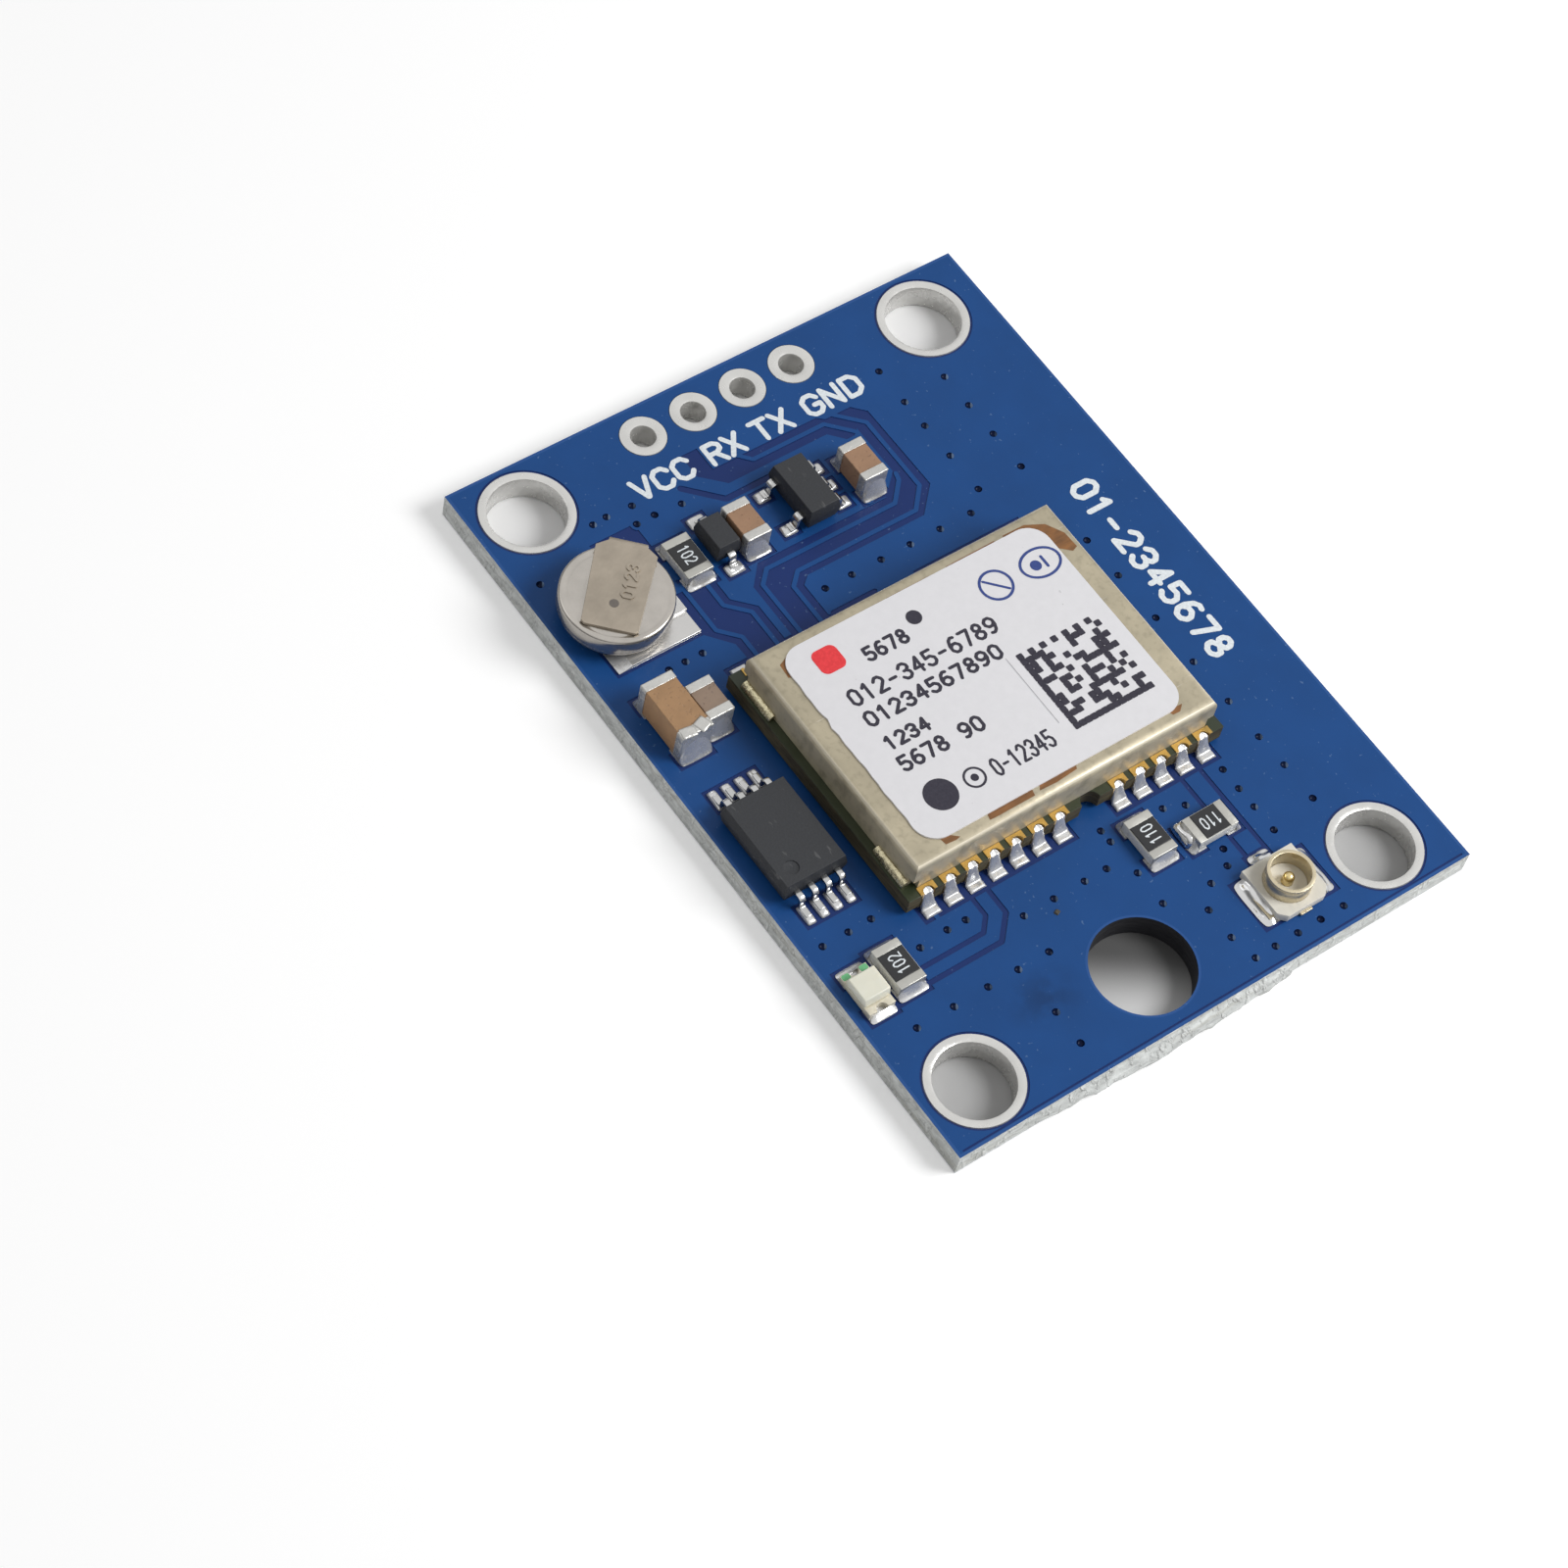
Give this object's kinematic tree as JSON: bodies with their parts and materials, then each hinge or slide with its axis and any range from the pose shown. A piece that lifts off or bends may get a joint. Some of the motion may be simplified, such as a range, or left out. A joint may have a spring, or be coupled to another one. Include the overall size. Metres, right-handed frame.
{
  "type": "gps module",
  "caption": "Small blue satellite receiver board with a shielded receiver module under a white label, a coin backup cell, a coax antenna socket and plated header holes.",
  "frame": {"origin": "middle of the board's underside", "axes": "+X along the short side, +Y along the long side towards the header holes, +Z out of the component side"},
  "size_m": [0.026, 0.0354, 0.0038],
  "materials": {
    "board_mask": "satin",
    "tin_plating": "bright",
    "solder": "bright",
    "gold_plating": "satin",
    "module_board": "satin",
    "can_sheet": "satin",
    "label_paper": "matt",
    "chip_resin": "matt",
    "crystal_metal": "satin",
    "choke_ferrite": "matt",
    "cell_steel": "brushed",
    "cell_tab": "satin",
    "cell_tab_bright": "bright",
    "lead_metal": "bright",
    "capacitor_ceramic": "matt",
    "end_cap_tin": "satin",
    "resistor_ceramic": "matt",
    "resistor_overcoat": "satin",
    "lamp_board": "matt",
    "lamp_resin": "satin",
    "lamp_plating": "satin",
    "socket_resin": "matt",
    "socket_shell": "bright",
    "socket_contact": "bright"
  },
  "bodies": {
    "root": {"board": "board_mask", "mounting_hole_plating": "tin_plating", "header_hole_plating": "tin_plating", "receiver_board": "module_board", "receiver_castellations": "gold_plating", "receiver_solder_joints": "solder", "receiver_shield_can": "can_sheet", "receiver_can_solder": "solder", "receiver_label": "label_paper", "receiver_chip": "chip_resin", "receiver_band_filter": "crystal_metal", "receiver_reference_crystal": "crystal_metal", "receiver_clock_crystal": "crystal_metal", "receiver_choke": "choke_ferrite", "backup_cell": "cell_steel", "backup_cell_top_tab": "cell_tab", "backup_cell_bottom_tab": "cell_tab_bright", "backup_cell_solder": "solder", "memory_body": "chip_resin", "memory_leads": "lead_metal", "memory_solder": "solder", "regulator_body": "chip_resin", "regulator_leads": "lead_metal", "regulator_solder": "solder", "diode_body": "chip_resin", "diode_leads": "lead_metal", "diode_solder": "solder", "output_capacitor_body": "capacitor_ceramic", "output_capacitor_ends": "end_cap_tin", "input_capacitor_body": "capacitor_ceramic", "input_capacitor_ends": "end_cap_tin", "reservoir_capacitor_body": "capacitor_ceramic", "reservoir_capacitor_ends": "end_cap_tin", "bypass_capacitor_body": "capacitor_ceramic", "bypass_capacitor_ends": "end_cap_tin", "capacitor_solder": "solder", "pullup_resistor_base": "resistor_ceramic", "pullup_resistor_overcoat": "resistor_overcoat", "pullup_resistor_ends": "end_cap_tin", "lamp_resistor_base": "resistor_ceramic", "lamp_resistor_overcoat": "resistor_overcoat", "lamp_resistor_ends": "end_cap_tin", "feed_resistor_base": "resistor_ceramic", "feed_resistor_overcoat": "resistor_overcoat", "feed_resistor_ends": "end_cap_tin", "series_resistor_base": "resistor_ceramic", "series_resistor_overcoat": "resistor_overcoat", "series_resistor_ends": "end_cap_tin", "resistor_solder": "solder", "lamp_base": "lamp_board", "lamp_lens": "lamp_resin", "lamp_ends": "lamp_plating", "lamp_solder": "solder", "antenna_socket_base": "socket_resin", "antenna_socket_shell": "socket_shell", "antenna_socket_contact": "socket_contact", "antenna_socket_solder": "solder"}
  },
  "joints": []
}
